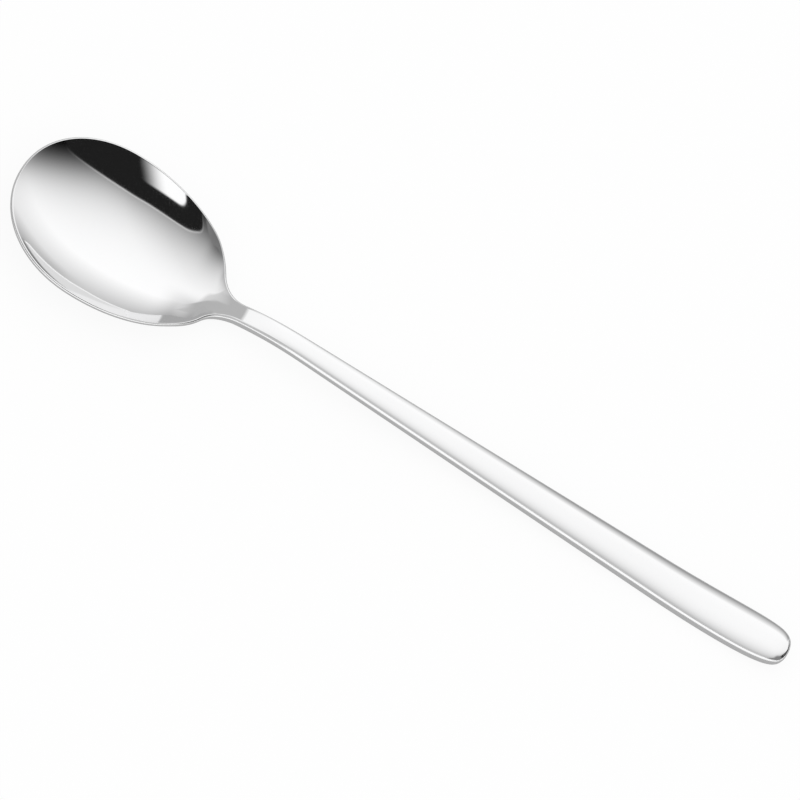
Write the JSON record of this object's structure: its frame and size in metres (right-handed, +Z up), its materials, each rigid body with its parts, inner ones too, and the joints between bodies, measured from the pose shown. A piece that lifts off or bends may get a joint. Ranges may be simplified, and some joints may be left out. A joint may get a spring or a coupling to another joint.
{
  "type": "soup spoon",
  "caption": "Long-handled soup spoon: a shallow oval bowl, a narrow neck and a flat tapering handle, pressed from one piece of polished stainless steel.",
  "frame": {"origin": "middle of the spoon's length and width, on the surface that it lies on", "axes": "+X from the bowl's tip to the handle's end, +Y across the spoon, +Z up"},
  "size_m": [0.21, 0.0406, 0.0089],
  "materials": {
    "polished_steel": "mirror-polished stainless steel"
  },
  "bodies": {
    "root": {"spoon": "polished_steel"}
  },
  "joints": []
}
